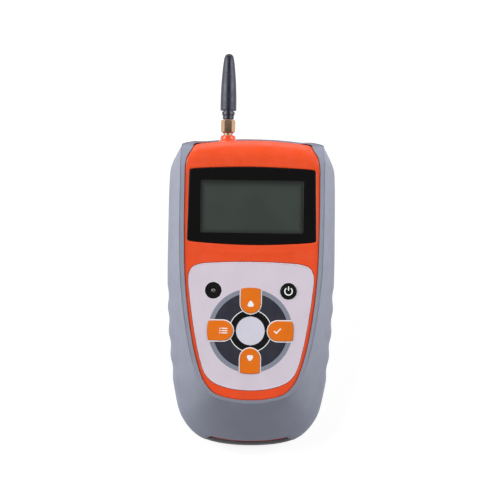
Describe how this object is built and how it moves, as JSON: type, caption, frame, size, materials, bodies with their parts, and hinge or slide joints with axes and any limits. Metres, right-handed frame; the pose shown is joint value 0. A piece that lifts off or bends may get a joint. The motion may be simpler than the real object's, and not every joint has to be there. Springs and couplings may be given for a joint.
{
  "type": "handheld transceiver",
  "caption": "Handheld radio transceiver with a wide display, keys round a dial, a rubber bumper, a screw-on stub antenna and a battery door at the back.",
  "frame": {"origin": "on the resting plane under the middle of the overall box, with the transceiver lying on its back", "axes": "+X to the right of the display, +Y along the body towards the antenna, +Z out of the display"},
  "size_m": [0.1086, 0.2528, 0.045],
  "materials": {
    "orange_plastic": "satin moulded plastic",
    "charcoal_plastic": "fine textured plastic",
    "grey_rubber": "matte soft-touch rubber",
    "black_rubber": "satin rubber",
    "lens": "clear acrylic, printed black round the window",
    "tape": "black adhesive foam",
    "lcd": "grey-green display glass",
    "white_plastic": "white light guide",
    "overlay": "pale printed face plate",
    "orange_key": "orange key cap",
    "black_plastic": "black plastic",
    "lamp": "smoked lamp lens",
    "gold_plate": "gold-plated brass",
    "steel": "plated steel",
    "circuit_board": "green circuit board",
    "cell_label": "cell in a printed sleeve",
    "red_lead": "insulated wire"
  },
  "bodies": {
    "housing": {"front_shell": "orange_plastic", "rear_shell": "charcoal_plastic", "bumper": "grey_rubber", "seam_gasket": "black_rubber", "display_lens": "lens", "lens_tape": "tape", "lcd_panel": "lcd", "lcd_backlight": "white_plastic", "keypad_overlay": "overlay", "indicator_bezel": "black_plastic", "buzzer": "black_plastic", "battery_lead_black": "black_plastic", "switch_up": "black_plastic", "switch_menu": "black_plastic", "switch_down": "black_plastic", "switch_confirm": "black_plastic", "switch_power": "black_plastic", "status_led": "lamp", "antenna_jack": "gold_plate", "lcd_bezel": "steel", "radio_shield": "steel", "board_screw_1": "steel", "board_screw_2": "steel", "board_screw_3": "steel", "board_screw_4": "steel", "case_screw_1": "steel", "case_screw_2": "steel", "case_screw_3": "steel", "case_screw_4": "steel", "cell_contact_1": "steel", "cell_contact_2": "steel", "cell_contact_3": "steel", "cell_spring_1": "steel", "cell_spring_2": "steel", "cell_spring_3": "steel", "main_board": "circuit_board", "cell_1": "cell_label", "cell_2": "cell_label", "cell_3": "cell_label", "battery_lead_red": "red_lead"},
    "key_up": {"key_up": "orange_key", "plunger_up": "black_plastic"},
    "key_menu": {"key_menu": "orange_key", "plunger_menu": "black_plastic"},
    "key_down": {"key_down": "orange_key", "plunger_down": "black_plastic"},
    "key_confirm": {"key_confirm": "orange_key", "plunger_confirm": "black_plastic"},
    "power_key": {"power_key": "black_plastic", "plunger_power": "black_plastic"},
    "antenna": {"antenna_sleeve": "black_rubber", "antenna_collar": "black_plastic", "plug_pin": "gold_plate", "antenna_element": "gold_plate"},
    "coupling_nut": {"coupling_nut": "gold_plate"},
    "battery_door": {"battery_door": "charcoal_plastic", "door_seal": "black_rubber", "door_screw_1": "steel", "door_screw_2": "steel"}
  },
  "joints": [
    {"name": "key_up_press", "type": "slide", "parent": "housing", "child": "key_up", "axis": [0, 0, -1], "range_m": [0, 0.0005], "stiffness_N_per_m": 3000},
    {"name": "key_menu_press", "type": "slide", "parent": "housing", "child": "key_menu", "axis": [0, 0, -1], "range_m": [0, 0.0005], "stiffness_N_per_m": 3000},
    {"name": "key_down_press", "type": "slide", "parent": "housing", "child": "key_down", "axis": [0, 0, -1], "range_m": [0, 0.0005], "stiffness_N_per_m": 3000},
    {"name": "key_confirm_press", "type": "slide", "parent": "housing", "child": "key_confirm", "axis": [0, 0, -1], "range_m": [0, 0.0005], "stiffness_N_per_m": 3000},
    {"name": "power_key_press", "type": "slide", "parent": "housing", "child": "power_key", "axis": [0, 0, -1], "range_m": [0, 0.0005], "stiffness_N_per_m": 3000},
    {"name": "antenna_slide", "type": "slide", "parent": "housing", "child": "antenna", "axis": [0, 1, 0], "range_m": [0, 0.00494]},
    {"name": "nut_turn", "type": "hinge", "parent": "antenna", "child": "coupling_nut", "pos_m": [-0.016, 0.0797, 0.0322], "axis": [0, 1, 0], "range_deg": [0, 2520]},
    {"name": "door_lift", "type": "slide", "parent": "housing", "child": "battery_door", "axis": [0, 0, -1], "range_m": [0, 0.03]}
  ],
  "couplings": [
    {"joint": "nut_turn", "follows": "antenna_slide", "rad_per_m": 8905.2}
  ]
}
